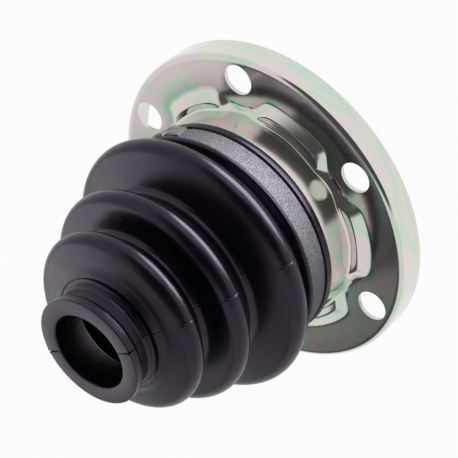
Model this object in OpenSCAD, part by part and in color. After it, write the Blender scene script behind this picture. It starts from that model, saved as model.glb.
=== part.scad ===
// Flanged bellows boot for a drive-shaft joint: a pressed sheet cap that bolts over
// the joint, a moulded rubber bellows and a clamp band that holds the two together.
// The boot stands on the rim of its cap, with the shaft's axis along +Z.

/* [Flange cap] */
// Outside diameter of the straight skirt
flange_od = 100; // [60:0.5:160]
// Thickness of the pressed sheet
sheet = 1.2; // [0.6:0.1:3]
// Height of the flat bolting face above the skirt's rim
face_height = 8.5; // [5:0.5:20]
// Outside radius of the bend from the skirt to the face
bend_radius = 1.6; // [1.4:0.1:4]
// Height of the raised bosses above the bolting face
boss_height = 2.2; // [0.5:0.1:5]
// Radius of the foot of the bosses between the holes
boss_radius = 39.4; // [25:0.1:70]
// How far the sloped wall of a boss runs inwards from foot to top
boss_run = 1.9; // [0.5:0.1:4]
// Rounding of a boss's corners beside each bolt hole, at the foot
corner_radius = 3; // [2.2:0.1:6]

/* [Bolt holes] */
// Number of bolt holes
bolt_count = 6; // [3:1:8]
// Diameter of the circle through the bolt holes
bolt_pcd = 86; // [50:0.5:140]
// Diameter of a bolt hole
bolt_hole = 9.3; // [5:0.1:14]
// Diameter of the flat seat that is left in the bosses for a bolt head
bolt_seat = 18.4; // [12:0.1:26]

/* [Cap neck] */
// Outside diameter of the tube that the rubber cuff is clamped on
tube_od = 62.6; // [36:0.2:96]
// Step from the tube out to the neck, beside the rubber's lip
neck_step = 1.1; // [0.4:0.1:4]
// How far the neck widens from that step down to the face
neck_flare = 0.8; // [0.2:0.1:4]
// Height of the small raised ring round the neck, above the bosses
neck_ring = 1.1; // [0.3:0.1:3]
// Width of that ring
neck_ring_width = 1.1; // [0.4:0.1:3]

/* [Cuff] */
// Height of the rubber's lip above the skirt's rim
lip_height = 19.2; // [15:0.2:50]
// Distance from the edge of the lip to the clamp band
lip_width = 2.6; // [1:0.1:6]
// How far the lip stands out beside the clamp band's groove
lip_step = 1.35; // [0.5:0.05:4]
// Rubber between the tube and the clamp band, at its flange side
cuff_wall = 1.3; // [0.6:0.1:4]
// How far the ridge on the bellows side stands out beside the groove
ridge_step = 1.85; // [0.5:0.05:5]
// Rounding of that ridge
ridge_round = 0.9; // [0.3:0.1:2]

/* [Clamp band] */
// Width of the clamp band
band_width = 7.2; // [4:0.1:16]
// Thickness of the band's strip
band_sheet = 0.8; // [0.3:0.05:2]
// How far the band widens from its flange side to its bellows side
band_taper = 1; // [0:0.1:3]
// Length round the band of the folded lock
lock_length = 10; // [4:0.5:30]
// Width of the folded lock
lock_width = 5.4; // [2:0.1:7]
// How far the folded lock stands out from the band
lock_rise = 1.5; // [0.5:0.1:4]
// Angle of the lock's middle from the first bolt hole
lock_angle = 21; // [0:1:360]

/* [Bellows] */
// Wall of the bellows
wall = 2.4; // [1.5:0.1:3.2]
// Rounding of the outside of each rim
rim_round = 3.5; // [3.3:0.1:5]
// Outside diameter of the large convolution
rim_od_a = 78.7; // [50:0.1:120]
// Height of the large convolution's rim above the clamp band
pitch_a = 10; // [8:0.1:24]
// Outside diameter of the middle convolution
rim_od_b = 65.6; // [40:0.1:110]
// Height of the middle convolution's rim above the large one's
pitch_b = 16.7; // [11.5:0.1:30]
// Outside diameter of the small convolution
rim_od_c = 54.9; // [36:0.1:100]
// Height of the small convolution's rim above the middle one's
pitch_c = 12.8; // [11.5:0.1:30]
// Rounding of the outside of each valley
valley_round = 2.2; // [1:0.1:4]
// Outside diameter of the valley below the middle convolution
valley_od_b = 54; // [34:0.2:90]
// Outside diameter of the valley below the small convolution
valley_od_c = 44; // [34:0.2:80]
// Depth of the narrow throat between the cuff's ridge and the large convolution
throat_depth = 2.5; // [1:0.1:5]
// Height of the middle of that throat above the clamp band
throat_rise = 3.6; // [2:0.1:6]
// Rounding of that throat
throat_round = 1.2; // [0.5:0.1:3]

/* [Small end] */
// Diameter of the bore that grips the shaft
shaft_bore = 23.3; // [15:0.1:40]
// Rubber between the bore and the seat for the shaft's clamp
sleeve_wall = 3.85; // [2:0.05:8]
// Length of the seat for the shaft's clamp
seat_length = 4.9; // [3:0.1:12]
// How far the collar at the small end stands out from the seat
collar_step = 1.2; // [0.4:0.1:4]
// Height of the collar
collar_height = 2.7; // [1.2:0.1:6]
// How far the bead at the foot of the seat stands out
bead_rise = 0.6; // [0.2:0.1:2]
// Width of that bead
bead_width = 0.9; // [0.5:0.1:3]
// How far the shoulder below the bead stands out from the seat
shoulder_step = 1.8; // [0.8:0.1:5]
// Height of the shoulder's top above the small convolution's rim
shoulder_rise = 5.9; // [4:0.1:14]
// Rubber between the shoulder's top and the foot of the bore
crown_wall = 2.1; // [1:0.1:4]

/* [Hidden] */
fine = 96;
arc_steps = 7;
corner_steps = 3;
eps = 0.05;

// steel and rubber, as they show in plain views
zinc = [0.74, 0.77, 0.72];
black_rubber = [0.09, 0.085, 0.095];
phosphate = [0.45, 0.46, 0.47];

// clearances between the pieces
cuff_gap = 0.05;
lip_gap = 0.05;
groove_gap = 0.05;
groove_side_gap = 0.25;

// cap, derived
hole_pitch = 360 / bolt_count;
boss_slope = atan(boss_height / boss_run);
// how far an edge moves inwards on the hidden side of the sheet
inset = sheet * tan(boss_slope / 2);
top_height = face_height + boss_height;
ring_top = top_height + neck_ring;
step_slope = 45;
step_foot = lip_height - lip_gap - neck_step * tan(step_slope);
neck_top_r = tube_od / 2 + neck_step;
neck_base_r = neck_top_r + neck_flare;
scallop = bolt_seat / 2;
// centre of a corner's rounding, seen from the axis
corner_reach = boss_radius - corner_radius;
corner_dist = scallop + corner_radius;
corner_turn = acos((pow(corner_reach, 2) + pow(bolt_pcd / 2, 2) - pow(corner_dist, 2))
    / (corner_reach * bolt_pcd));
// a corner's cone stands this much proud, so that faces meet at a clear angle
corner_lap = 0.08;
// how far a drill runs past each side of the sheet
drill_past = 1;

// clamp band and cuff, derived
band_low = lip_height + lip_width;
band_high = band_low + band_width;
cuff_bore = tube_od / 2 + cuff_gap;
groove_low = cuff_bore + cuff_wall;
groove_high = groove_low + band_taper;
band_low_r = groove_low + groove_gap + band_sheet;
lip_r = groove_low + lip_step;
ridge_r = groove_high + ridge_step;
ridge_turn = 80;
lock_bevel = 0.4;
// the tube ends a little past the band that squeezes the cuff on it
tube_past = 0.6;
tube_end = band_high + tube_past;

// bellows: centre radius, height, rounding and side (1 a rim, -1 a valley)
rim_z_a = band_high + pitch_a;
rim_z_b = rim_z_a + pitch_b;
rim_z_c = rim_z_b + pitch_c;
rings = [
    [ridge_r - throat_depth + throat_round, band_high + throat_rise, throat_round, -1],
    [rim_od_a / 2 - rim_round, rim_z_a, rim_round, 1],
    [valley_od_b / 2 + valley_round, rim_z_a + pitch_b / 2, valley_round, -1],
    [rim_od_b / 2 - rim_round, rim_z_b, rim_round, 1],
    [valley_od_c / 2 + valley_round, rim_z_b + pitch_c / 2, valley_round, -1],
    [rim_od_c / 2 - rim_round, rim_z_c, rim_round, 1]
];
last_ring = len(rings) - 1;
// angle at which the throat starts, outside, and at which the last rim ends
throat_turn = 250;
crown_turn = 74;

// small end, derived
bore_r = shaft_bore / 2;
seat_r = bore_r + sleeve_wall;
collar_r = seat_r + collar_step;
shoulder_r = seat_r + shoulder_step;
shoulder_top = rim_z_c + shoulder_rise;
shoulder_round = 0.7;
shoulder_turn = 30;
// the crown's slope meets the shoulder this far out and down from its edge
crown_out = 1.6;
crown_down = 1;
bead_foot = shoulder_top + shoulder_round;
seat_foot = bead_foot + bead_width;
collar_foot = seat_foot + seat_length;
total_height = collar_foot + collar_height;
bore_foot = shoulder_top - crown_wall;
// small bevels and roundings that the mould gives the rubber's corners
bevel = 0.3;
rounding = 0.5;

// points of an arc from angle a to angle b round a centre
function arc_points(cx, cy, r, a, b, n = arc_steps) =
    [for (i = [0 : n]) [cx + r * cos(a + (b - a) * i / n), cy + r * sin(a + (b - a) * i / n)]];

// direction of the straight flank from ring i to the next
function flank(i) =
    let (p = rings[i], q = rings[i + 1], dx = q[0] - p[0], dy = q[1] - p[1])
    atan2(dy, dx) + p[3] * asin((p[2] + q[2]) / norm([dx, dy]));

// angle at which the throat's arc, moved inwards by k, leaves the bore of the cuff
function throat_begin(k) = k == 0 ? throat_turn : 360 - acos((cuff_bore - rings[0][0]) / (throat_round + k));

// angles at which a ring's arc begins and ends
function arc_begin(i, k) = i == 0 ? throat_begin(k) : flank(i - 1) - rings[i][3] * 90;
function arc_end(i) = i == last_ring ? crown_turn : flank(i) - rings[i][3] * 90;

// one ring's arc, moved inwards by k
function ring_arc(i, k) =
    let (c = rings[i]) arc_points(c[0], c[1], c[2] - c[3] * k, arc_begin(i, k), arc_end(i));

// the run of rings, moved inwards by k
function ring_run(k) = [for (i = [0 : last_ring]) each ring_arc(i, k)];

function reversed(p) = [for (i = [len(p) - 1 : -1 : 0]) p[i]];

// solid of revolution of a list of [radius, height] points
module turned(points) {
    rotate_extrude($fn = fine) polygon(points);
}

// cylinder or cone between two heights
module cone(z0, z1, r0, r1) {
    translate([0, 0, z0]) cylinder(h = z1 - z0, r1 = r0, r2 = r1, $fn = fine);
}

// skirt, bend and face as a solid body, moved inwards by k
module cap_body(k) {
    skirt_r = flange_od / 2;
    base = k > 0 ? -eps : 0;
    turned(concat(
        [[0, base], [skirt_r - k, base]],
        arc_points(skirt_r - bend_radius, face_height - bend_radius, bend_radius - k, 0, 90),
        [[0, face_height - k]]
    ));
}

// one corner beside a bolt hole, to be cut from the bosses
module corner_cut(k, side) {
    reach = corner_dist;
    shift = inset * k / sheet;
    foot = face_height - k;
    centre = [corner_reach * cos(corner_turn), side * corner_reach * sin(corner_turn)];
    to_hole = ([bolt_pcd / 2, 0] - centre) / corner_dist;
    outwards = centre / corner_reach;
    difference() {
        translate([0, 0, foot - eps]) linear_extrude(boss_height + 2 * eps) polygon([
            centre,
            centre + reach * outwards,
            centre + reach * (outwards + to_hole),
            centre + reach * to_hole
        ]);
        translate([centre[0], centre[1], 0])
            cone(foot - 2 * eps, top_height - k + 2 * eps,
                corner_radius - shift + corner_lap, corner_radius - shift - boss_run + corner_lap);
    }
}

// the six bosses as one scalloped ring, moved inwards by k
module bosses(k) {
    shift = inset * k / sheet;
    foot = face_height - k;
    top = top_height - k;
    difference() {
        turned([
            [0, foot - eps], [boss_radius - shift, foot - eps], [boss_radius - shift, foot],
            [boss_radius - shift - boss_run, top], [0, top]
        ]);
        for (i = [0 : bolt_count - 1]) rotate([0, 0, i * hole_pitch]) {
            translate([bolt_pcd / 2, 0, 0])
                cone(foot, top + eps, scallop + shift, scallop + shift + boss_run * (1 + eps / boss_height));
            corner_cut(k, 1);
            corner_cut(k, -1);
        }
    }
}

// neck and tube as a solid body, moved inwards by k
module neck(k) {
    over = k > 0 ? eps : 0;
    slope = k * tan(step_slope / 2);
    turned([
        [0, face_height - k - eps],
        [neck_base_r + neck_ring_width - k, face_height - k - eps],
        [neck_base_r + neck_ring_width - k, top_height - slope],
        [neck_base_r + neck_ring_width / 2 - k, ring_top - k],
        [neck_base_r - k, ring_top - k + eps],
        [neck_top_r - k, step_foot - slope],
        [tube_od / 2 - k, step_foot + neck_step * tan(step_slope) - slope],
        [tube_od / 2 - k, tube_end + over],
        [0, tube_end + over]
    ]);
}

module flange_cap() {
    color(zinc) difference() {
        union() {
            cap_body(0);
            bosses(0);
            neck(0);
        }
        cap_body(sheet);
        bosses(sheet);
        neck(sheet);
        for (i = [0 : bolt_count - 1]) rotate([0, 0, i * hole_pitch])
            translate([bolt_pcd / 2, 0, face_height - sheet - drill_past])
                cylinder(h = sheet + 2 * drill_past, d = bolt_hole, $fn = fine);
    }
}

// outline of the cuff, from its bore out over the lip and the groove to the ridge
function cuff_outline() = concat(
    [[cuff_bore, lip_height]],
    arc_points(lip_r - rounding, lip_height + rounding, rounding, -90, 0, corner_steps),
    [
        [lip_r, band_low - groove_side_gap - bevel],
        [lip_r - bevel, band_low - groove_side_gap],
        [groove_low, band_low - groove_side_gap],
        [groove_high, band_high + groove_side_gap]
    ],
    arc_points(ridge_r - ridge_round, band_high + groove_side_gap + ridge_round, ridge_round, -90, ridge_turn)
);

// outline of the small end, from the crown of the bellows up to its face
function end_outline() = concat(
    [[shoulder_r + crown_out, shoulder_top - crown_down]],
    arc_points(shoulder_r - shoulder_round, shoulder_top - shoulder_round, shoulder_round,
        shoulder_turn, 90, corner_steps),
    arc_points(seat_r + bead_rise - bead_width / 2, bead_foot + bead_width / 2, bead_width / 2,
        -90, 90, 2 * corner_steps),
    [[seat_r, seat_foot], [seat_r, collar_foot - bevel], [seat_r + bevel, collar_foot]],
    arc_points(collar_r - rounding, collar_foot + rounding, rounding, -90, 0, corner_steps),
    arc_points(collar_r - rounding, total_height - rounding, rounding, 0, 90, corner_steps)
);

module bellows_boot() {
    bore_outline = [
        [bore_r + bevel, bore_foot],
        [bore_r, bore_foot + bevel],
        [bore_r, total_height - rounding],
        [bore_r + rounding, total_height]
    ];
    color(black_rubber) turned(concat(
        cuff_outline(),
        ring_run(0),
        end_outline(),
        reversed(concat(ring_run(wall), bore_outline))
    ));
}

module clamp_band() {
    grow = band_taper / band_width;
    lock_z = band_low + (band_width - lock_width) / 2;
    lock_r = band_low_r + grow * (lock_z - band_low);
    lock_turn = lock_length / lock_r * 180 / PI;
    lock_widens = grow * lock_width;
    color(phosphate) union() {
        turned([
            [band_low_r - band_sheet, band_low],
            [band_low_r, band_low],
            [band_low_r + band_taper, band_high],
            [band_low_r + band_taper - band_sheet, band_high]
        ]);
        rotate([0, 0, lock_angle - lock_turn / 2]) rotate_extrude(angle = lock_turn, $fn = fine) polygon([
            [lock_r - band_sheet / 2, lock_z],
            [lock_r + lock_rise - lock_bevel, lock_z],
            [lock_r + lock_rise, lock_z + lock_bevel],
            [lock_r + lock_rise + lock_widens, lock_z + lock_width - lock_bevel],
            [lock_r + lock_rise + lock_widens - lock_bevel, lock_z + lock_width],
            [lock_r - band_sheet / 2 + lock_widens, lock_z + lock_width]
        ]);
    }
}

flange_cap();
bellows_boot();
clamp_band();
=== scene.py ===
"""Looks of a flanged drive shaft boot: a pressed, zinc-plated cap, a moulded rubber
bellows and the clamp band that joins them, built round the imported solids."""

from math import acos, asin, atan2, cos, hypot, pi, radians, sin, tan

import bpy
import numpy as np
from mathutils import Matrix, Vector, noise
from mathutils.geometry import tessellate_polygon


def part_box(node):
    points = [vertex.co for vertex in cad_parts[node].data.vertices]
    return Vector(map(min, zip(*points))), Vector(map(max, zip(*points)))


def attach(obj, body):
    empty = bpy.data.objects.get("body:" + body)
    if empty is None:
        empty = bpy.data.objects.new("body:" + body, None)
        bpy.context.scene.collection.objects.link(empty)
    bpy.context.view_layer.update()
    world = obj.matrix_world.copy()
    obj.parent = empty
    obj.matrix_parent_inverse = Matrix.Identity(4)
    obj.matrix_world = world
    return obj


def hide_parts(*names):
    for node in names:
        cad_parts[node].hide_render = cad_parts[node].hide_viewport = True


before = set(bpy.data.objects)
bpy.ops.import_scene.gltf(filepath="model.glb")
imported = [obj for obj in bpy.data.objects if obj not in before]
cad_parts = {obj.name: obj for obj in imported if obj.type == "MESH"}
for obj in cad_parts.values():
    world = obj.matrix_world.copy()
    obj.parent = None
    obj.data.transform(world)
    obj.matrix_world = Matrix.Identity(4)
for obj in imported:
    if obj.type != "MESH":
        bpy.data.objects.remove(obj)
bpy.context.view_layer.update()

# The pressed cap
# One piece of 1.2 mm sheet steel, drawn in a press and then pierced: a straight skirt,
# a rounded bend, a flat bolting face with six holes, six bosses with a scalloped seat
# round each hole, and the neck that the rubber is clamped on. It is plated with zinc.

# sizes are in millimetres, and MM turns them into the scene's metres
MM = 0.001
_, cap_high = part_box("flange_cap")
SHEET = 1.2
SKIRT_R = cap_high.x / MM
SKIRT_ROWS = (0, 2.3, 4.6)
FACE_Z = 8.5
BEND = 1.6
BEND_R = SKIRT_R - BEND
BEND_STEPS = 9
FLAT_BORDER = 0.4
HOLES = 6
HOLE_R = 4.65
HOLE_POINTS = 48
BOLT_R = 43.0
# the bosses: their outer edge, the round seat that cuts them, and how their two edges meet
BOSS_R = 39.4
SEAT_R = 9.2
SEAT_STEEP = 1.6
CORNER_SOFT = 1.7
# a boss's wall leaves the face in a small fillet and climbs to a narrow crest, and the
# sheet is dished a little between the crest and the neck
FOOT_FILLET = 0.6
FOOT_SLOPE = radians(32)
TOP_SLOPE = radians(28)
CREST_RUN = 3.7
CREST_ROUND = 0.35
DISH_DEPTH = 0.45
DISH_WIDE = 1.7
DISH_ENDS = (2.5, 12.0)
# the neck, its step, and the tube inside the rubber, as rows of radius and height
NECK_R = 33.2
NECK_TOP_R = 32.4
NECK_FILLET = 2.4
BOSS_FILLET = 1.0
FILLET_SHARE = 0.995
STEP_Z = 18.05
STEP_TOP = 19.15
STEP_ROUND = 0.15
TUBE_R = 31.3
TUBE_END = cap_high.z / MM
TUBE_ROWS = (
    (31.9, STEP_Z + 0.5),
    (TUBE_R + STEP_ROUND, STEP_TOP - STEP_ROUND),
    (TUBE_R, STEP_TOP),
    (TUBE_R, 24.5),
    (TUBE_R, TUBE_END),
)
# the mesh's lines: the apron is the part of the flat face that follows the bosses' foot, and
# it dips towards the foot by a hair
COLUMNS = 96
APRON = 6.0
APRON_BORDER = 0.3
APRON_DIP = 0.05
APRON_ROWS = 8
FOOT_MARGIN = 0.05
RISE_END = NECK_R + 0.02
RISE_ROWS = 38
NECK_ROWS = 9
SEARCH_MARGIN = 0.5
SEARCH_POINTS = 1500
WELD = 0.002
SHARP_BEND = radians(38)
# how far from the bosses' foot the sheet is stretched, and where the burnished part starts
STRETCH_OUTSIDE = 3.2
STRETCH_INSIDE = 0.35
BURNISH_EDGE = (-0.6, 0.2)
RIM_MARGIN = 0.1


def boss_depth(r, turn):
    """Distance in from the foot of the bosses, in mm, at a radius and an angle from a hole."""
    to_hole = np.hypot(r * np.cos(turn) - BOLT_R, r * np.sin(turn))
    in_from_rim = BOSS_R - r
    in_from_seat = (to_hole - SEAT_R) * SEAT_STEEP
    # the smaller of the two, with a soft turn from one to the other
    return -CORNER_SOFT * np.logaddexp(-in_from_rim / CORNER_SOFT, -in_from_seat / CORNER_SOFT)


# the wall's heights are summed from its slope at each hundredth of a millimetre
WALL_STEP = 0.01
wall_d = np.arange(0, CREST_RUN + CREST_ROUND, WALL_STEP)
climb = np.interp(
    wall_d,
    (0, FOOT_FILLET, CREST_RUN - CREST_ROUND, CREST_RUN + CREST_ROUND),
    (0, FOOT_SLOPE, TOP_SLOPE, 0),
)
wall_z = np.cumsum(np.tan(climb)) * WALL_STEP
BOSS_RISE = float(wall_z[-1])


def smooth_step(x, low, high):
    """Goes from 0 to 1 as x goes from low to high, with soft ends."""
    share = np.clip((x - low) / (high - low), 0, 1)
    return share * share * (3 - 2 * share)


def bell(x, wide):
    """A smooth bell of height 1."""
    return float(np.exp(-((x / wide) ** 2)))


def face_height(r, turn):
    """Height of the sheet's upper side between the bosses' foot and the neck."""
    boss = np.interp(boss_depth(r, turn) + FOOT_FILLET / 2, wall_d, wall_z)
    share = boss / BOSS_RISE
    to_seat = np.hypot(r * np.cos(turn) - BOLT_R, r * np.sin(turn)) - SEAT_R
    behind = BOSS_R - r - CREST_RUN
    dish = DISH_DEPTH * np.clip(behind / DISH_WIDE, 0, 1) * smooth_step(to_seat, *DISH_ENDS)
    # the neck's fillet is smaller on a boss, and ends just short of upright
    fillet = NECK_FILLET + (BOSS_FILLET - NECK_FILLET) * share
    inward = np.clip(NECK_R + fillet - r, 0, fillet * FILLET_SHARE)
    neck = fillet - np.sqrt(fillet**2 - inward**2)
    return FACE_Z - APRON_DIP + boss - dish + neck


def contour_radius(turn, depth):
    """Radius of the line at this distance in from the bosses' foot, at an angle from a hole."""
    r = np.linspace(BEND_R - SEARCH_MARGIN, NECK_R + BOSS_FILLET, SEARCH_POINTS)
    inside = boss_depth(r, turn) > depth
    return float(r[np.argmax(inside)]) if inside.any() else float(r[-1])


def skirt_rows():
    """Rows of the skirt and its bend, each with a radius and a height for every column."""
    line = [(SKIRT_R, z) for z in SKIRT_ROWS]
    for i in range(BEND_STEPS + 1):
        a = radians(90) * i / BEND_STEPS
        line.append((BEND_R + BEND * cos(a), FACE_Z - BEND + BEND * sin(a)))
    line.append((BEND_R - FLAT_BORDER, FACE_Z))
    return [[point] * (COLUMNS + 1) for point in line]


def rise_rows(turns):
    """Rows from the flat face over the apron and the bosses, up the neck and along the tube."""
    outside = -FOOT_FILLET / 2
    rows = [[(contour_radius(t, outside - APRON - APRON_BORDER), FACE_Z) for t in turns]]
    for j in range(APRON_ROWS):
        share = 1 - j / APRON_ROWS
        dip = APRON_DIP * (1 - share) ** 2
        rows.append([(contour_radius(t, outside - APRON * share), FACE_Z - dip) for t in turns])
    feet = [contour_radius(t, outside - FOOT_MARGIN) for t in turns]
    for j in range(RISE_ROWS + 1):
        radii = [foot + (RISE_END - foot) * j / RISE_ROWS for foot in feet]
        rows.append([(r, float(face_height(r, t))) for r, t in zip(radii, turns)])
    neck_foot = rows[-1]
    for j in range(1, NECK_ROWS + 1):
        part = j / NECK_ROWS
        neck_r = RISE_END + (NECK_TOP_R - RISE_END) * part
        rows.append([(neck_r, z + (STEP_Z - z) * part) for _, z in neck_foot])
    return rows + [[point] * (COLUMNS + 1) for point in TUBE_ROWS]


def join_rows(rows, turns, points, faces):
    """Adds the rows' points and the faces between them to the two lists."""
    first = len(points)
    for row in rows:
        points.extend((r * cos(t), r * sin(t), z) for (r, z), t in zip(row, turns))
    for j in range(len(rows) - 1):
        for i in range(COLUMNS):
            a = first + j * (COLUMNS + 1) + i
            faces.append((a, a + 1, a + COLUMNS + 2, a + COLUMNS + 1))


def cap_sector():
    """One sixth of the sheet's upper side, with its hole, as points in metres and faces."""
    turns = [radians(180 / HOLES) * (2 * i / COLUMNS - 1) for i in range(COLUMNS + 1)]
    points, faces = [], []
    join_rows(skirt_rows(), turns, points, faces)
    inner_edge = len(points)
    join_rows(rise_rows(turns), turns, points, faces)
    hole_edge = len(points)
    for i in range(HOLE_POINTS):
        a = 2 * pi * i / HOLE_POINTS
        points.append((BOLT_R + HOLE_R * cos(a), HOLE_R * sin(a), FACE_Z))

    # the flat face lies between the skirt's last row and the apron's first, round the hole
    border = list(range(inner_edge - COLUMNS - 1, inner_edge))
    border += range(inner_edge + COLUMNS, inner_edge - 1, -1)
    hole = list(range(hole_edge, hole_edge + HOLE_POINTS))
    order = border + hole
    for corners in tessellate_polygon([[Vector(points[i]) for i in loop] for loop in (border, hole)]):
        a, b, c = (order[k] for k in corners)
        pa, pb, pc = (Vector(points[k]) for k in (a, b, c))
        upwards = (pb - pa).cross(pc - pa).z > 0
        faces.append((a, b, c) if upwards else (a, c, b))
    return [tuple(v * MM for v in p) for p in points], faces


def new_object(name, points, faces, edges=()):
    """A mesh object in the scene, from points in metres."""
    mesh = bpy.data.meshes.new(name)
    mesh.from_pydata(points, list(edges), faces)
    piece = bpy.data.objects.new(name, mesh)
    bpy.context.scene.collection.objects.link(piece)
    return piece


def add(tree, kind, inputs=None, **settings):
    """Adds one node with its settings. Each input is a number, or a node or socket to link, under
    the name of its own socket, or under that socket's number where several share a name."""
    node = tree.nodes.new(kind)
    for name, value in settings.items():
        setattr(node, name, value)
    for key, value in (inputs or {}).items():
        if isinstance(value, bpy.types.Node):
            value = value.outputs[0]
        if isinstance(value, bpy.types.NodeSocket):
            tree.links.new(value, node.inputs[key])
        else:
            node.inputs[key].default_value = value
    return node


def new_rule(name, sizes):
    """A Geometry Nodes tree with a geometry input and named sizes, and the sockets they come from."""
    tree = bpy.data.node_groups.new(name, "GeometryNodeTree")
    tree.interface.new_socket("Geometry", in_out="INPUT", socket_type="NodeSocketGeometry")
    for label, kind in sizes.items():
        tree.interface.new_socket(label, in_out="INPUT", socket_type="NodeSocket" + kind)
    tree.interface.new_socket("Geometry", in_out="OUTPUT", socket_type="NodeSocketGeometry")
    return tree, add(tree, "NodeGroupInput").outputs


def applied(start, name):
    """What an object's modifiers make of it, as a plain mesh object that takes its place."""
    graph = bpy.context.evaluated_depsgraph_get()
    mesh = bpy.data.meshes.new_from_object(start.evaluated_get(graph))
    mesh.name = name
    piece = bpy.data.objects.new(name, mesh)
    bpy.context.scene.collection.objects.link(piece)
    bpy.data.objects.remove(start)
    return piece


def grow(tree, start, values, name):
    """Runs a tree on a start object and returns its result as a plain mesh object."""
    modifier = start.modifiers.new("rule", "NODES")
    modifier.node_group = tree
    for item in tree.interface.items_tree:
        if item.in_out == "INPUT" and item.name in values:
            modifier[item.identifier] = values[item.name]
    return applied(start, name)


def note(piece, name, values):
    """Keeps one number for each point of a piece, for its material or its tree to read."""
    piece.data.attributes.new(name, "FLOAT", "POINT").data.foreach_set("value", values)


def linear(hex_colour):
    """An sRGB hex colour as linear red, green, blue and alpha."""
    parts = [int(hex_colour[i : i + 2], 16) / 255 for i in (1, 3, 5)]
    return tuple(v / 12.92 if v <= 0.04045 else ((v + 0.055) / 1.055) ** 2.4 for v in parts) + (1.0,)


def new_material(name):
    """A material with nodes, its tree, and its one shader, already wired to the surface."""
    material = bpy.data.materials.new(name)
    material.use_nodes = True
    tree = material.node_tree
    tree.nodes.clear()
    shader = add(tree, "ShaderNodeBsdfPrincipled")
    add(tree, "ShaderNodeOutputMaterial", {"Surface": shader})
    return material, tree, shader


def ramp(node, stops):
    """Sets a colour ramp's stops, as places and sRGB hex colours."""
    points = node.color_ramp.elements
    while len(points) < len(stops):
        points.new(0.5)
    for point, (place, colour) in zip(points, stops):
        point.position = place
        point.color = linear(colour)


# Zinc plate with a clear passivation over pressed steel: a bright metal with a soft gloss.
# The thin film drifts through pale green, cream and pink, in streaks that run round the
# skirt, and it deepens where the sheet was drawn hard beside the bosses. The press left slow
# waves in the sheet, which make the reflections swim a little.
zinc, tree, metal = new_material("iridescent zinc plate")
place = add(tree, "ShaderNodeTexCoord").outputs["Object"]
drawn = add(tree, "ShaderNodeMapping", {"Vector": place, "Scale": (1.0, 1.0, 3.6)})
drift = add(tree, "ShaderNodeTexNoise", {"Vector": drawn, "Scale": 1 / (17 * MM), "Detail": 1.5})
thin_film = add(tree, "ShaderNodeValToRGB", {"Fac": drift.outputs["Fac"]})
ramp(
    thin_film,
    [(0.30, "#dfddd2"), (0.42, "#e2d4d8"), (0.50, "#dadcd1"), (0.58, "#c9dbcb"), (0.70, "#dcd9d2")],
)
blotch = add(tree, "ShaderNodeTexNoise", {"Vector": place, "Scale": 1 / (9 * MM), "Detail": 1.0})
deep_film = add(tree, "ShaderNodeValToRGB", {"Fac": blotch.outputs["Fac"]})
ramp(deep_film, [(0.34, "#dabacb"), (0.45, "#cfcbc2"), (0.56, "#a3d0b2"), (0.68, "#bccbcf")])
stretch = add(tree, "ShaderNodeAttribute", attribute_name="stretch").outputs["Fac"]
film = add(tree, "ShaderNodeMix", {0: stretch, 6: thin_film, 7: deep_film}, data_type="RGBA")
smear = add(tree, "ShaderNodeTexNoise", {"Vector": place, "Scale": 1 / (5 * MM), "Detail": 4.0})
burnish = add(tree, "ShaderNodeAttribute", attribute_name="burnish").outputs["Fac"]
finish = add(tree, "ShaderNodeMapRange", {"Value": burnish, "To Min": 0.14, "To Max": 0.10})
haze = add(
    tree, "ShaderNodeMath", {0: smear.outputs["Fac"], 1: 0.05, 2: finish}, operation="MULTIPLY_ADD"
)
wave = add(tree, "ShaderNodeTexNoise", {"Vector": place, "Scale": 1 / (11 * MM), "Detail": 1.0})
waves = add(
    tree,
    "ShaderNodeBump",
    {"Height": wave.outputs["Fac"], "Strength": 0.5, "Distance": 0.08 * MM},
)
tree.links.new(film.outputs[2], metal.inputs["Base Color"])
tree.links.new(haze.outputs[0], metal.inputs["Roughness"])
tree.links.new(waves.outputs[0], metal.inputs["Normal"])
metal.inputs["Metallic"].default_value = 1.0

around, given = new_rule("six pressings round the axis", {"Count": "Int", "Weld": "Float"})
spokes = add(around, "GeometryNodeMeshLine", {"Count": given["Count"], "Offset": (0, 0, 0)})
number = add(around, "GeometryNodeInputIndex")
pitch = add(around, "ShaderNodeMath", {0: 2 * pi, 1: given["Count"]}, operation="DIVIDE")
turn = add(around, "ShaderNodeMath", {0: number, 1: pitch}, operation="MULTIPLY")
facing = add(around, "ShaderNodeCombineXYZ", {"Z": turn})
copies = add(
    around,
    "GeometryNodeInstanceOnPoints",
    {"Points": spokes, "Instance": given["Geometry"], "Rotation": facing},
)
whole = add(around, "GeometryNodeRealizeInstances", {"Geometry": copies})
welded = add(
    around, "GeometryNodeMergeByDistance", {"Geometry": whole, "Distance": given["Weld"]}
)
coated = add(around, "GeometryNodeSetMaterial", {"Geometry": welded, "Material": zinc})
add(around, "NodeGroupOutput", {"Geometry": coated})

sector_points, sector_faces = cap_sector()
sector = new_object("cap_sector", sector_points, sector_faces)
to_foot = [boss_depth(hypot(x, y) / MM, atan2(y, x)) for x, y, _ in sector_points]
# how hard the sheet was stretched: most at the bosses' foot, less within a few millimetres
note(sector, "stretch", [bell(d, STRETCH_INSIDE if d > 0 else STRETCH_OUTSIDE) for d in to_foot])
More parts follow.
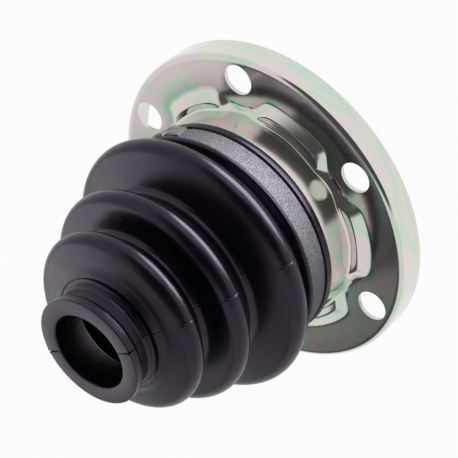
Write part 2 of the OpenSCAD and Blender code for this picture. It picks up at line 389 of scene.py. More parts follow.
# the press tool burnished the bosses, the neck and the rim; the flat kept its rolled finish
on_rim = [hypot(x, y) / MM > BEND_R - RIM_MARGIN for x, y, _ in sector_points]
pressed = [float(smooth_step(d, *BURNISH_EDGE)) for d in to_foot]
note(sector, "burnish", [1.0 if rim else share for rim, share in zip(on_rim, pressed)])
cap_skin = grow(around, sector, {"Count": HOLES, "Weld": WELD * MM}, "cap_skin")
wall = cap_skin.modifiers.new("sheet", "SOLIDIFY")
wall.thickness = SHEET * MM
wall.offset = -1
wall.use_even_offset = True
wall.use_quality_normals = True
pressed_cap = applied(cap_skin, "pressed_cap")
pressed_cap.data.shade_smooth()
pressed_cap.data.set_sharp_from_angle(angle=SHARP_BEND)
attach(pressed_cap, "root")
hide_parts("flange_cap")

# The rubber bellows
# One moulding of black rubber: a cuff with a groove for the clamp band, three convolutions
# that let the shaft swing, and a collar that grips the shaft. The two halves of its mould
# leave a fine parting line down each side. Its free end leans a little, as soft rubber does.
boot_low, boot_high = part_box("bellows_boot")
LIP_Z = boot_low.z / MM
END_Z = boot_high.z / MM
RUBBER = 2.4
# the cuff, with its lip, the band's groove and a ridge above it
CUFF_BORE = 31.35
CUFF_CHAMFER = 0.3
CUFF_ROWS = (28.0, 25.0)
LIP_R = 34.0
LIP_ROUND = 0.5
GROOVE_LOW_R = 32.65
GROOVE_HIGH_R = 33.65
GROOVE_GAP = 0.25
GROOVE_ROUND = 0.35
BAND_LOW_Z = LIP_Z + 2.6
BAND_HIGH_Z = BAND_LOW_Z + 7.2
RIDGE_R = 35.5
RIDGE_ROUND = 0.9
RIDGE_LAST_TURN = 1.4
# the convolutions: radius and height of each rim, radius of each valley, and the throat
# between the cuff and the first rim, as centre radius, height and rounding
RIM_ROUND = 3.5
VALLEY_ROUND = 2.2
RIMS = ((39.35, 39.0), (32.8, 55.7), (27.45, 68.5))
VALLEYS = (27.0, 22.0)
THROAT = (34.2, BAND_HIGH_Z + 3.6, 1.2)
THROAT_TURN = radians(250)
LAST_RIM_TURN = radians(74)
RING_STEPS = 13
RING_STEPS_INSIDE = 9
# the shoulder, the bead, the small clamp's seat and the collar, with turns in radians
SHOULDER_FOOT = ((22.0, 72.7), (19.8, 73.2))
SHOULDER_R = 17.3
SHOULDER_ROUND = 0.9
SHOULDER_TURNS = (1.2, 2.2)
SHOULDER_GAP = 0.7
SEAT_END_R = 15.5
SEAT_LONG = 4.9
SEAT_CORNER = 0.35
BEAD_WIDE = 0.8
BEAD_RISE = 0.45
BEAD_TURN = 1.3
BEAD_FILLET = 0.15
COLLAR_R = 16.7
COLLAR_TALL = 2.7
COLLAR_ROUND = 0.3
COLLAR_STEP = ((0, -0.4), (0.3, 0))
# the shaft's bore, and the steps of its lip from its own radius and height
BORE_R = 11.65
BORE_ROUND = 0.45
BORE_FOOT = 72.3
BORE_LIP = ((0, 0.35), (0.12, 0.1), (0.4, 0), (1.3, -0.3))
LONGEST = 1.1
BOOT_SEGMENTS = 340
BOOT_WELD = 0.001
SHARP_RUBBER = radians(60)
# the parting lines: their place, how tightly the mesh is drawn to them, their size, how far
# they wander, the two lips of flash, and their strength along the outline
SEAM_TURN = radians(-71.5)
SEAM_PINCH = 0.93
SEAM_DEPTH = 0.32
SEAM_WIDE = 0.2
SEAM_STRAY = 0.35
SEAM_SEED = 3.0
SEAM_FLASH = 0.3
SEAM_FLASH_NARROW = 0.16
SEAM_FAINT = 0.25
SEAM_ON_RIM = 0.75
SEAM_RIM_WIDE = 4.0
SEAM_RIM_IN = 5
SEAM_AT_END = 1.0
SEAM_END_LONG = 9
SEAM_ON_FACE = 2.6
SEAM_FACE_DEEP = 0.4
# the lean of the free end: its direction, its shift in mm, its tilt and where it starts
LEAN_TURN = radians(200)
LEAN = 1.0
LEAN_TILT = radians(2.0)
LEAN_FROM = 70.0


def arc(cx, cy, r, start, end, steps):
    """Points on an arc round a centre, between two angles in radians."""
    spread = [start + (end - start) * i / steps for i in range(steps + 1)]
    return [(cx + r * cos(a), cy + r * sin(a)) for a in spread]


def boot_rings():
    """Centre radius, height, rounding and side (1 a rim, -1 a valley) of each ring of the bellows."""
    rings = [(*THROAT, -1)]
    for i, (rim_r, rim_z) in enumerate(RIMS):
        rings.append((rim_r - RIM_ROUND, rim_z, RIM_ROUND, 1))
        if i < len(VALLEYS):
            between = (rim_z + RIMS[i + 1][1]) / 2
            rings.append((VALLEYS[i] + VALLEY_ROUND, between, VALLEY_ROUND, -1))
    return rings


def ring_run(rings, inset, first_turn, steps):
    """The bellows' outline moved inwards by the wall: arcs joined by their common tangents."""
    flanks = []
    for (px, py, pr, side), (qx, qy, qr, _) in zip(rings, rings[1:]):
        flanks.append(atan2(qy - py, qx - px) + side * asin((pr + qr) / hypot(qx - px, qy - py)))
    run = []
    for i, (cx, cy, r, side) in enumerate(rings):
        begin = flanks[i - 1] - side * pi / 2 if i else first_turn
        end = flanks[i] - side * pi / 2 if i < len(flanks) else LAST_RIM_TURN
        run += arc(cx, cy, r - side * inset, begin, end, steps)
    return run


def even_out(outline, longest):
    """Adds points so that no straight stretch of an outline is longer than this."""
    result = []
    for (ax, ay), (bx, by) in zip(outline, outline[1:]):
        parts = max(1, int(hypot(bx - ax, by - ay) / longest + 0.5))
        result += [(ax + (bx - ax) * k / parts, ay + (by - ay) * k / parts) for k in range(parts)]
    return result + outline[-1:]


def cuff_outside():
    """The outline up the cuff's outside: lip, groove for the band, and ridge."""
    groove_low = BAND_LOW_Z - GROOVE_GAP
    groove_high = BAND_HIGH_Z + GROOVE_GAP
    line = [(CUFF_BORE + CUFF_CHAMFER, LIP_Z)]
    line += arc(LIP_R - LIP_ROUND, LIP_Z + LIP_ROUND, LIP_ROUND, -pi / 2, 0, 3)
    line += arc(LIP_R - GROOVE_ROUND, groove_low - GROOVE_ROUND, GROOVE_ROUND, 0, pi / 2, 3)
    line += [(GROOVE_LOW_R, groove_low), (GROOVE_HIGH_R, groove_high)]
    ridge = (RIDGE_R - RIDGE_ROUND, groove_high + RIDGE_ROUND, RIDGE_ROUND)
    return line + arc(*ridge, -pi / 2, RIDGE_LAST_TURN, 7)


def small_end_outside():
    """The outline from the last convolution over the shoulder, bead and seat to the collar's end."""
    collar_foot = END_Z - COLLAR_TALL
    seat_foot = collar_foot - SEAT_LONG
    bead_foot = seat_foot - BEAD_WIDE
    bead_round = BEAD_WIDE / 2
    line = list(SHOULDER_FOOT)
    shoulder_z = bead_foot - SHOULDER_GAP - SHOULDER_ROUND
    line += arc(SHOULDER_R, shoulder_z, SHOULDER_ROUND, *SHOULDER_TURNS, 4)
    line += [(SEAT_END_R + SEAT_CORNER, bead_foot - SEAT_CORNER)]
    bead_r = SEAT_END_R + BEAD_RISE - bead_round
    line += arc(bead_r, seat_foot - bead_round, bead_round, -BEAD_TURN, BEAD_TURN, 5)
    line += [(SEAT_END_R, seat_foot + BEAD_FILLET)]
    line += [(SEAT_END_R + out, collar_foot + up) for out, up in COLLAR_STEP]
    corner_r = COLLAR_R - COLLAR_ROUND
    line += arc(corner_r, collar_foot + COLLAR_ROUND, COLLAR_ROUND, -pi / 2, 0, 4)
    return line + arc(corner_r, END_Z - COLLAR_ROUND, COLLAR_ROUND, 0, pi / 2, 5)


def boot_section():
    """The rubber's closed outline in radius and height, as its outside and its inside."""
    rings = boot_rings()
    outside = cuff_outside() + ring_run(rings, 0, THROAT_TURN, RING_STEPS) + small_end_outside()
    inside = arc(BORE_R + BORE_ROUND, END_Z - BORE_ROUND, BORE_ROUND, pi / 2, pi, 4)
    inside += [(BORE_R + out, BORE_FOOT + up) for out, up in BORE_LIP]
    from_cuff = pi + acos((THROAT[0] - CUFF_BORE) / (THROAT[2] + RUBBER))
    inside += ring_run(rings, RUBBER, from_cuff, RING_STEPS_INSIDE)[::-1]
    inside += [(CUFF_BORE, z) for z in (*CUFF_ROWS, LIP_Z + CUFF_CHAMFER)]
    return even_out(outside, LONGEST), inside


def seam_strength(r, z):
    """How strong the parting line is on the outside: most on the rims and the small end."""
    on_rim = max(bell(z - rim_z, SEAM_RIM_WIDE) * (r > rim_r - SEAM_RIM_IN) for rim_r, rim_z in RIMS)
    at_end = SEAM_AT_END if z > END_Z - SEAM_END_LONG else 0.0
    on_face = SEAM_ON_FACE if z > END_Z - SEAM_FACE_DEEP else 0.0
    return SEAM_FAINT + SEAM_ON_RIM * on_rim + at_end + on_face


def section_object(outside, inside):
    """The outline as a ring of edges, with each point's outward direction and seam strength."""
    outline = outside + inside
    count = len(outline)
    outwards = []
    for i in range(count):
        (ax, ay), (bx, by) = outline[i - 1], outline[(i + 1) % count]
        run = hypot(bx - ax, by - ay)
        outwards.append(((by - ay) / run, 0, -(bx - ax) / run))
    strengths = [seam_strength(r, z) for r, z in outside] + [0.0] * len(inside)
    # the first point comes once more at the end, so that the turned sheet closes
    points = [(r * MM, 0, z * MM) for r, z in outline + outline[:1]]
    section = new_object("boot_section", points, [], [(i, i + 1) for i in range(count)])
    directions = section.data.attributes.new("outwards", "FLOAT_VECTOR", "POINT")
    directions.data.foreach_set("vector", [v for n in outwards + outwards[:1] for v in n])
    note(section, "seam", strengths + strengths[:1])
    return section


# Moulded black rubber: a soft sheen with a cool, slightly violet cast where light grazes it,
# fine mould grain, and a little dust and rubbing in patches. The grain is drawn a little
# coarser than the real one, so that it shows.
rubber, tree, soft = new_material("moulded black rubber")
place = add(tree, "ShaderNodeTexCoord").outputs["Object"]
cloud = add(tree, "ShaderNodeTexNoise", {"Vector": place, "Scale": 1 / (14 * MM), "Detail": 3.0})
tone = add(tree, "ShaderNodeValToRGB", {"Fac": cloud.outputs["Fac"]})
ramp(tone, [(0.3, "#030104"), (0.7, "#070409")])
cells = add(
    tree, "ShaderNodeTexVoronoi", {"Vector": place, "Scale": 1 / (1.3 * MM)}, distance="EUCLIDEAN"
)
where = add(tree, "ShaderNodeTexNoise", {"Vector": place, "Scale": 1 / (7 * MM), "Detail": 2.0})
near = add(
    tree,
    "ShaderNodeMapRange",
    {
        "Value": cells.outputs["Distance"],
        "From Min": 0.04,
        "From Max": 0.16,
        "To Min": 1.0,
        "To Max": 0.0,
    },
)
some = add(
    tree,
    "ShaderNodeMapRange",
    {"Value": where.outputs["Fac"], "From Min": 0.58, "From Max": 0.72, "To Max": 0.35},
)
dust = add(tree, "ShaderNodeMath", {0: near, 1: some}, operation="MULTIPLY")
dusted = add(tree, "ShaderNodeMix", {0: dust, 6: tone, 7: linear("#5d5862")}, data_type="RGBA")
rub = add(tree, "ShaderNodeTexNoise", {"Vector": place, "Scale": 1 / (3 * MM), "Detail": 4.0})
gloss = add(
    tree,
    "ShaderNodeMapRange",
    {
        "Value": rub.outputs["Fac"],
        "From Min": 0.3,
        "From Max": 0.7,
        "To Min": 0.25,
        "To Max": 0.33,
    },
)
grain = add(tree, "ShaderNodeTexNoise", {"Vector": place, "Scale": 1 / (0.35 * MM), "Detail": 2.0})
relief = add(
    tree,
    "ShaderNodeBump",
    {"Height": grain.outputs["Fac"], "Strength": 0.2, "Distance": 0.02 * MM},
)
tree.links.new(dusted.outputs[2], soft.inputs["Base Color"])
tree.links.new(gloss.outputs[0], soft.inputs["Roughness"])
tree.links.new(relief.outputs[0], soft.inputs["Normal"])
soft.inputs["IOR"].default_value = 1.52
soft.inputs["Specular Tint"].default_value = linear("#edd4fa")

turned, given = new_rule(
    "bellows turned from a section",
    {
        "Segments": "Int",
        "Seam Turn": "Float",
        "Seam Pinch": "Float",
        "Seam Depth": "Float",
        "Seam Width": "Float",
        "Seam Stray": "Float",
        "Lean": "Vector",
        "Tilt": "Vector",
        "Lean From": "Float",
        "Lean To": "Float",
        "Seed": "Float",
    },
)
size_of = add(turned, "GeometryNodeAttributeDomainSize", {"Geometry": given["Geometry"]})
point_count = size_of.outputs["Point Count"]
columns = add(turned, "ShaderNodeMath", {0: given["Segments"], 1: 1.0}, operation="ADD")
sheet = add(
    turned,
    "GeometryNodeMeshGrid",
    {"Size X": 1.0, "Size Y": 1.0, "Vertices X": columns, "Vertices Y": point_count},
)
flat_place = add(turned, "ShaderNodeSeparateXYZ", {0: add(turned, "GeometryNodeInputPosition")})
across = add(turned, "ShaderNodeMath", {0: flat_place.outputs["X"], 1: 0.5}, operation="ADD")
along = add(turned, "ShaderNodeMath", {0: flat_place.outputs["Y"], 1: 0.5}, operation="ADD")
last = add(turned, "ShaderNodeMath", {0: point_count, 1: 1.0}, operation="SUBTRACT")
row_place = add(turned, "ShaderNodeMath", {0: along, 1: last}, operation="MULTIPLY")
row = add(turned, "ShaderNodeMath", {0: row_place}, operation="ROUND")
# the angle runs slowly past each parting line, so that the mesh is fine there
plain_turn = add(turned, "ShaderNodeMath", {0: across, 1: 2 * pi}, operation="MULTIPLY")
double_turn = add(turned, "ShaderNodeMath", {0: plain_turn, 1: 2.0}, operation="MULTIPLY")
ripple = add(turned, "ShaderNodeMath", {0: double_turn}, operation="SINE")
half_pinch = add(turned, "ShaderNodeMath", {0: given["Seam Pinch"], 1: -0.5}, operation="MULTIPLY")
seam_turn = add(
    turned, "ShaderNodeMath", {0: ripple, 1: half_pinch, 2: plain_turn}, operation="MULTIPLY_ADD"
)
angle = add(turned, "ShaderNodeMath", {0: seam_turn, 1: given["Seam Turn"]}, operation="ADD")
# what the section says at this row: its place, which way is out, and how strong the seam is
at_row = []
for kind, source, settings in (
    ("GeometryNodeInputPosition", {}, {}),
    ("GeometryNodeInputNamedAttribute", {"Name": "outwards"}, {"data_type": "FLOAT_VECTOR"}),
    ("GeometryNodeInputNamedAttribute", {"Name": "seam"}, {"data_type": "FLOAT"}),
):
    value = add(turned, kind, source, **settings)
    at_row.append(
        add(
            turned,
            "GeometryNodeSampleIndex",
            {"Geometry": given["Geometry"], "Value": value, "Index": row},
            data_type=settings.get("data_type", "FLOAT_VECTOR"),
            domain="POINT",
        )
    )
section_place, facing_out, seam_here = at_row
at = add(turned, "ShaderNodeSeparateXYZ", {0: section_place})
spin = add(turned, "ShaderNodeCombineXYZ", {"Z": angle})
stood = add(turned, "ShaderNodeCombineXYZ", {"X": at.outputs["X"], "Z": at.outputs["Z"]})
put, out = (
    add(turned, "ShaderNodeVectorRotate", {"Vector": v, "Rotation": spin}, rotation_type="EULER_XYZ")
    for v in (stood, facing_out)
)
# the parting line: a narrow groove that wanders, between two faint lips of flash
wander = add(
    turned,
    "ShaderNodeTexNoise",
    {"Vector": put, "W": given["Seed"], "Scale": 1 / (1.6 * MM), "Detail": 2.0},
    noise_dimensions="4D",
)
back = add(turned, "ShaderNodeMath", {0: given["Seam Stray"], 1: -1.0}, operation="MULTIPLY")
stray = add(
    turned,
    "ShaderNodeMapRange",
    {"Value": wander.outputs[0], "To Min": back, "To Max": given["Seam Stray"]},
)
swing = add(turned, "ShaderNodeMath", {0: seam_turn}, operation="SINE")
aside = add(
    turned, "ShaderNodeMath", {0: swing, 1: at.outputs["X"], 2: stray}, operation="MULTIPLY_ADD"
)
ratio = add(turned, "ShaderNodeMath", {0: aside, 1: given["Seam Width"]}, operation="DIVIDE")
square = add(turned, "ShaderNodeMath", {0: ratio, 1: ratio}, operation="MULTIPLY")
falls = add(turned, "ShaderNodeMath", {0: square, 1: -1.0}, operation="MULTIPLY")
groove = add(turned, "ShaderNodeMath", {0: falls}, operation="EXPONENT")
falls_slowly = add(
    turned, "ShaderNodeMath", {0: square, 1: -SEAM_FLASH_NARROW}, operation="MULTIPLY"
)
flash = add(turned, "ShaderNodeMath", {0: falls_slowly}, operation="EXPONENT")
faint_flash = add(turned, "ShaderNodeMath", {0: flash, 1: SEAM_FLASH}, operation="MULTIPLY")
profile = add(turned, "ShaderNodeMath", {0: faint_flash, 1: groove}, operation="SUBTRACT")
full = add(turned, "ShaderNodeMath", {0: profile, 1: given["Seam Depth"]}, operation="MULTIPLY")
depth = add(turned, "ShaderNodeMath", {0: full, 1: seam_here}, operation="MULTIPLY")
grooved = add(turned, "ShaderNodeVectorMath", {0: out, "Scale": depth}, operation="SCALE")
moved = add(turned, "ShaderNodeVectorMath", {0: put, 1: grooved}, operation="ADD")
# the small end leans and tips
bend_share = add(
    turned,
    "ShaderNodeMapRange",
    {"Value": at.outputs["Z"], "From Min": given["Lean From"], "From Max": given["Lean To"]},
    interpolation_type="SMOOTHSTEP",
)
tip = add(turned, "ShaderNodeVectorMath", {0: put, 1: given["Tilt"]}, operation="DOT_PRODUCT")
lifted = add(turned, "ShaderNodeCombineXYZ", {"Z": tip.outputs["Value"]})
full_shift = add(turned, "ShaderNodeVectorMath", {0: lifted, 1: given["Lean"]}, operation="ADD")
shift = add(turned, "ShaderNodeVectorMath", {0: full_shift, "Scale": bend_share}, operation="SCALE")
leaned = add(turned, "ShaderNodeVectorMath", {0: moved, 1: shift}, operation="ADD")
shaped = add(turned, "GeometryNodeSetPosition", {"Geometry": sheet, "Position": leaned})
joined = add(
    turned, "GeometryNodeMergeByDistance", {"Geometry": shaped, "Distance": BOOT_WELD * MM}
)
smooth = add(turned, "GeometryNodeSetShadeSmooth", {"Geometry": joined})
real = add(turned, "GeometryNodeRealizeInstances", {"Geometry": smooth})
black = add(turned, "GeometryNodeSetMaterial", {"Geometry": real, "Material": rubber})
add(turned, "NodeGroupOutput", {"Geometry": black})

lean_x, lean_y = cos(LEAN_TURN), sin(LEAN_TURN)
slope = tan(LEAN_TILT)
rubber_boot = grow(
    turned,
    section_object(*boot_section()),
    {
        "Segments": BOOT_SEGMENTS,
        "Seam Turn": SEAM_TURN,
        "Seam Pinch": SEAM_PINCH,
        "Seam Depth": SEAM_DEPTH * MM,
        "Seam Width": SEAM_WIDE * MM,
        "Seam Stray": SEAM_STRAY * MM,
        "Lean": (LEAN * MM * lean_x, LEAN * MM * lean_y, -COLLAR_R * MM * slope),
        "Tilt": (-slope * lean_x, -slope * lean_y, 0.0),
        "Lean From": LEAN_FROM * MM,
        "Lean To": END_Z * MM,
        "Seed": SEAM_SEED,
    },
    "rubber_boot",
)
rubber_boot.data.set_sharp_from_angle(angle=SHARP_RUBBER)
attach(rubber_boot, "root")
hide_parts("bellows_boot")

# The clamp band
# A strip of spring steel with a dull phosphate coat, drawn tight in the cuff's groove. Its
# end is folded back on itself and hammered flat under two small ears, which locks it.
BAND_SHEET = 0.8
BAND_LOW_R = 33.5
BAND_HIGH_R = 34.5
BAND_EDGE = 0.15
BAND_SEGMENTS = 240
SHARP_BAND = radians(50)
# each leaf of the lock: first and last angle in degrees, lowest and highest z, and how far
# its two sides stand off the band
TONGUE = (15.0, 29.5, 22.6, 28.2, 0.0, 1.15)
TONGUE_SLANT = -3.6
EARS = ((20.5, 25.5, 21.9, 24.3, 0.1, 1.5), (20.5, 25.5, 26.7, 28.9, 0.1, 1.5))
LEAF_EDGE = 0.4
LEAF_ROWS = 14
LEAF_COLUMNS = 26
HAMMER_DEEP = 0.16
HAMMER_PER_MM = 0.7
HAMMER_SEED = 2.0
LOCK_RUBBED = 0.5

# Phosphate on spring steel: a matt, gritty grey of fine crystals, rubbed through to a paler,
# glossier bare metal on the hammered lock. The crystals are drawn coarser than the real ones,
# so that they show.
coat, tree, dull = new_material("phosphated spring steel")
place = add(tree, "ShaderNodeTexCoord").outputs["Object"]
speck = add(
    tree,
    "ShaderNodeTexNoise",
    {"Vector": place, "Scale": 1 / (0.45 * MM), "Detail": 2.0, "Roughness": 0.7},
)
grit = add(tree, "ShaderNodeValToRGB", {"Fac": speck.outputs["Fac"]})
ramp(grit, [(0.34, "#3b383e"), (0.45, "#67646b"), (0.64, "#8e8b92")])
rubbed = add(tree, "ShaderNodeAttribute", attribute_name="rubbed").outputs["Fac"]
worn = add(tree, "ShaderNodeMix", {0: rubbed, 6: grit, 7: linear("#aeaaa8")}, data_type="RGBA")
sheen = add(tree, "ShaderNodeMapRange", {"Value": rubbed, "To Min": 0.62, "To Max": 0.42})
relief = add(
    tree,
    "ShaderNodeBump",
    {"Height": speck.outputs["Fac"], "Strength": 0.6, "Distance": 0.06 * MM},
)
tree.links.new(worn.outputs[2], dull.inputs["Base Color"])
tree.links.new(sheen.outputs[0], dull.inputs["Roughness"])
tree.links.new(relief.outputs[0], dull.inputs["Normal"])
tree.links.new(rubbed, dull.inputs["Metallic"])


def band_mesh():
    """The strip as a ring with slightly rounded edges."""
    e = BAND_EDGE
    low, high, thick = BAND_LOW_R, BAND_HIGH_R, BAND_SHEET
    outline = [
        (low - thick + e, BAND_LOW_Z),
        (low - e, BAND_LOW_Z),
        (low, BAND_LOW_Z + e),
        (high, BAND_HIGH_Z - e),
        (high - e, BAND_HIGH_Z),
        (high - thick + e, BAND_HIGH_Z),
        (high - thick, BAND_HIGH_Z - e),
        (low - thick, BAND_LOW_Z + e),
    ]
    count = len(outline)
    points, faces = [], []
    for i in range(BAND_SEGMENTS):
        a = 2 * pi * i / BAND_SEGMENTS
        points += [(r * MM * cos(a), r * MM * sin(a), z * MM) for r, z in outline]
        for j in range(count):
            k, m = (i + 1) % BAND_SEGMENTS, (j + 1) % count
            faces.append((i * count + j, k * count + j, k * count + m, i * count + m))
    return points, faces


def finish_band(piece):
    """Coats a piece of the band, and shades it smooth between its sharp edges."""
    piece.data.materials.append(coat)
    piece.data.shade_smooth()
    piece.data.set_sharp_from_angle(angle=SHARP_BAND)


band_ring = new_object("band_ring", *band_mesh())
finish_band(band_ring)
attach(band_ring, "root")
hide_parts("clamp_band")


def leaf(first_turn, last_turn, low_z, high_z, rise_low, rise_high, slant=0.0):
    """A small hammered plate on the band, as points in metres and faces."""
    rows, columns = LEAF_ROWS, LEAF_COLUMNS
    taper = (BAND_HIGH_R - BAND_LOW_R) / (BAND_HIGH_Z - BAND_LOW_Z)
    points, faces = [], []
    for rise in (rise_high, rise_low):
        for i in range(columns + 1):
            for j in range(rows + 1):
                s, t = i / columns, j / rows
                z = low_z + (high_z - low_z) * t
                turn = radians(first_turn + slant * t * (1 - s) + (last_turn - first_turn) * s)
                base = BAND_LOW_R + taper * (z - BAND_LOW_Z)
                width = radians(last_turn - first_turn) * base
                edge = min(min(t, 1 - t) * (high_z - low_z), min(s, 1 - s) * width)
                round_off = LEAF_EDGE * (1 - min(edge / LEAF_EDGE, 1)) ** 2
                spot = Vector((turn * base * HAMMER_PER_MM, z * HAMMER_PER_MM, HAMMER_SEED))
                blows = noise.noise(spot) * HAMMER_DEEP
                r = base + rise + (blows - round_off if rise == rise_high else 0)
                points.append((r * MM * cos(turn), r * MM * sin(turn), z * MM))
    per_side = (columns + 1) * (rows + 1)
    for i in range(columns):
        for j in range(rows):
            a = i * (rows + 1) + j
            faces.append((a, a + rows + 1, a + rows + 2, a + 1))
            faces.append(tuple(per_side + k for k in (a, a + 1, a + rows + 2, a + rows + 1)))
    border = list(range(rows + 1))
    border += [i * (rows + 1) + rows for i in range(1, columns + 1)]
    border += [columns * (rows + 1) + j for j in range(rows - 1, -1, -1)]
    border += [i * (rows + 1) for i in range(columns - 1, 0, -1)]
    for a, b in zip(border, border[1:] + border[:1]):
        faces.append((a, b, per_side + b, per_side + a))
    return points, faces


lock_points, lock_faces = [], []
for points, faces in [leaf(*TONGUE, slant=TONGUE_SLANT)] + [leaf(*ear) for ear in EARS]:
    lock_faces += [tuple(k + len(lock_points) for k in face) for face in faces]
    lock_points += points
folded_lock = new_object("folded_lock", lock_points, lock_faces)
note(folded_lock, "rubbed", [LOCK_RUBBED] * len(lock_points))
finish_band(folded_lock)
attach(folded_lock, "root")
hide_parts("clamp_band")

# The studio
# A pale floor that the boot stands on. The floor and the world are white to the camera, and
# metal and rubber show them too. Three parts of the room are dark in reflections only, which
# gives the plated face its charcoal tone. The floor keeps a soft shadow.

# the floor's half width is in metres
FLOOR_HALF = 3.0
FLOOR_GLOW = 0.96
WHITE = (1, 1, 1, 1)


def seen_direct(tree):
    """A factor that is 1 for camera, glossy and transmission rays, and the light path's outputs."""
    path = add(tree, "ShaderNodeLightPath").outputs
    both = add(
        tree,
        "ShaderNodeMath",
        {0: path["Is Camera Ray"], 1: path["Is Glossy Ray"]},
        operation="MAXIMUM",
    )
    seen = add(
        tree, "ShaderNodeMath", {0: both, 1: path["Is Transmission Ray"]}, operation="MAXIMUM"
    )
    return seen, path


def towards_sky(turn, rise):
    """A direction from an azimuth and an elevation, in degrees."""
    a, e = radians(turn), radians(rise)
    return Vector((cos(a) * cos(e), sin(a) * cos(e), sin(e)))


# matt pale paint that takes the boot's shadow; a camera under the floor looks through it
white, tree, paint = new_material("pale studio floor")
paint.inputs["Base Color"].default_value = linear("#f4f4f4")
paint.inputs["Roughness"].default_value = 0.9
seen, light_path = seen_direct(tree)
share = add(tree, "ShaderNodeMath", {0: seen, 1: FLOOR_GLOW}, operation="MULTIPLY")
glow = add(tree, "ShaderNodeEmission", {"Color": WHITE, "Strength": 1.0})
lit = add(tree, "ShaderNodeMixShader", {0: share, 1: paint, 2: glow})
side = add(tree, "ShaderNodeNewGeometry").outputs["Backfacing"]
hidden = add(
    tree, "ShaderNodeMath", {0: side, 1: light_path["Is Camera Ray"]}, operation="MULTIPLY"
)
clear = add(tree, "ShaderNodeBsdfTransparent")
one_sided = add(tree, "ShaderNodeMixShader", {0: hidden, 1: lit, 2: clear})
tree.links.new(one_sided.outputs[0], tree.nodes["Material Output"].inputs["Surface"])
h = FLOOR_HALF
floor = new_object("studio_floor", [(-h, -h, 0), (h, -h, 0), (h, h, 0), (-h, h, 0)], [(0, 1, 2, 3)])
floor.data.materials.append(white)

# the room's brightness in reflections, and its fill on matt surfaces; for each dark part the
# azimuth and elevation of its middle, and the angles from there at which it is fully dark and
# at which it has faded out
ROOM = 0.85
ROOM_DARK = 0.08
FILL = 0.16
DARK_PARTS = ((155, 37, 10.5, 24), (-45, 30, 45, 50), (-20, 84, 8, 24))
world = bpy.data.worlds.new("studio")
bpy.context.scene.world = world
world.use_nodes = True
# the room is even enough to go without light samples of its own
world.cycles.sampling_method = "NONE"
tree = world.node_tree
tree.nodes.clear()
seen, light_path = seen_direct(tree)
direction = add(tree, "ShaderNodeTexCoord").outputs["Generated"]
room = None
for turn_deg, rise_deg, dark_to, clear_from in DARK_PARTS:
    near = add(
        tree,
        "ShaderNodeVectorMath",
        {0: direction, 1: towards_sky(turn_deg, rise_deg)},
        operation="DOT_PRODUCT",
    )
    part = add(
        tree,
        "ShaderNodeMapRange",
        {
            "Value": near.outputs["Value"],
            "From Min": cos(radians(clear_from)),
            "From Max": cos(radians(dark_to)),
            "To Min": ROOM,
            "To Max": ROOM_DARK,
        },
        interpolation_type="SMOOTHSTEP",
    )
    if room is None:
        room = part
    else:
        room = add(tree, "ShaderNodeMath", {0: room, 1: part}, operation="MINIMUM")
# white to the camera, and the room to glossy rays
darker = add(tree, "ShaderNodeMath", {0: room, 1: -1.0}, operation="ADD")
level = add(
    tree,
    "ShaderNodeMath",
    {0: light_path["Is Glossy Ray"], 1: darker, 2: 1.0},
    operation="MULTIPLY_ADD",
)
fill = add(tree, "ShaderNodeBackground", {"Color": WHITE, "Strength": FILL})
bright = add(tree, "ShaderNodeBackground", {"Color": WHITE, "Strength": level})
either = add(tree, "ShaderNodeMixShader", {0: seen, 1: fill, 2: bright})
add(tree, "ShaderNodeOutputWorld", {"Surface": either})


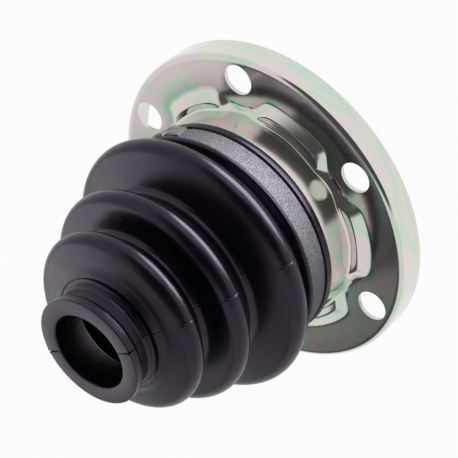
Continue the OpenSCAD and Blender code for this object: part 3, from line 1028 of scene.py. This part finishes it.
def softbox(name, place, aim, width, height, brightness, only):
    """A soft panel at a place, facing a point, that lights only some pieces. Its sizes are in
    metres, and its brightness is 1 where it would look white."""
    lamp = bpy.data.lights.new(name, "AREA")
    lamp.shape = "RECTANGLE"
    lamp.size = width
    lamp.size_y = height
    lamp.energy = brightness * pi * width * height
    panel = bpy.data.objects.new(name, lamp)
    bpy.context.scene.collection.objects.link(panel)
    back = (place - aim).normalized()
    along = Vector((1, 0, 0))
    if place.xy.length > MM:
        along = Vector((-place.y, place.x, 0)).normalized()
    turned_to = Matrix((along, back.cross(along), back)).transposed()
    panel.matrix_world = Matrix.Translation(place) @ turned_to.to_4x4()
    panel.visible_camera = False
    receivers = bpy.data.collections.new(name)
    for piece in only:
        receivers.objects.link(piece)
    panel.light_linking.receiver_collection = receivers


# the panels light the matt pieces only: two beside the boot and one behind it, one low in
# front of it that draws the thin lines on the rims, and one inside its open end that lights
# the bore's far edge; places and sizes are in metres
MIDDLE = Vector((0, 0, 0.03))
PANEL_FAR = 0.7
LOW_PLACE = towards_sky(-36, 0) * 0.084 + Vector((0, 0, 0.001))
OPEN_END = Vector((0, 0, 0.002))
matt_pieces = [rubber_boot, band_ring, folded_lock]
for label, turn_deg, rise_deg, width, height, brightness in (
    ("left", 112, 36, 0.58, 0.5, 0.95),
    ("right", -22, 4, 0.42, 0.2, 1.7),
    ("back", 156, 38, 0.35, 0.35, 0.55),
):
    spot = MIDDLE + towards_sky(turn_deg, rise_deg) * PANEL_FAR
    softbox(label + " panel", spot, MIDDLE, width, height, brightness, matt_pieces + [floor])
softbox("low panel", LOW_PLACE, LOW_PLACE + Vector((0, 0, 1)), 0.085, 0.056, 9.5, matt_pieces)
softbox("open end", OPEN_END, MIDDLE, 0.04, 0.04, 3.0, [rubber_boot])

# The camera
# It looks down on the cap from beside the small end, turned so that the boot's axis points
# down to the left, as in the photograph.
VIEW_TURN = -47.033
VIEW_RISE = 36.882
VIEW_ROLL = radians(128.975)
VIEW_AIM = Vector((-6.161, 8.163, 13.558)) * MM
VIEW_DISTANCE = 601.81 * MM
VIEW_LENS = 163.5
towards = towards_sky(VIEW_TURN, VIEW_RISE)
upright = (Vector((0, 0, 1)) - towards * towards.z).normalized()
up = Matrix.Rotation(-VIEW_ROLL, 3, towards) @ upright
right = up.cross(towards)
lens = bpy.data.cameras.new("camera")
lens.lens = VIEW_LENS
camera = bpy.data.objects.new("camera", lens)
bpy.context.scene.collection.objects.link(camera)
facing = Matrix((right, up, towards)).transposed().to_4x4()
camera.matrix_world = Matrix.Translation(VIEW_AIM + towards * VIEW_DISTANCE) @ facing
bpy.context.scene.camera = camera

bpy.context.scene.view_settings.view_transform = "Standard"
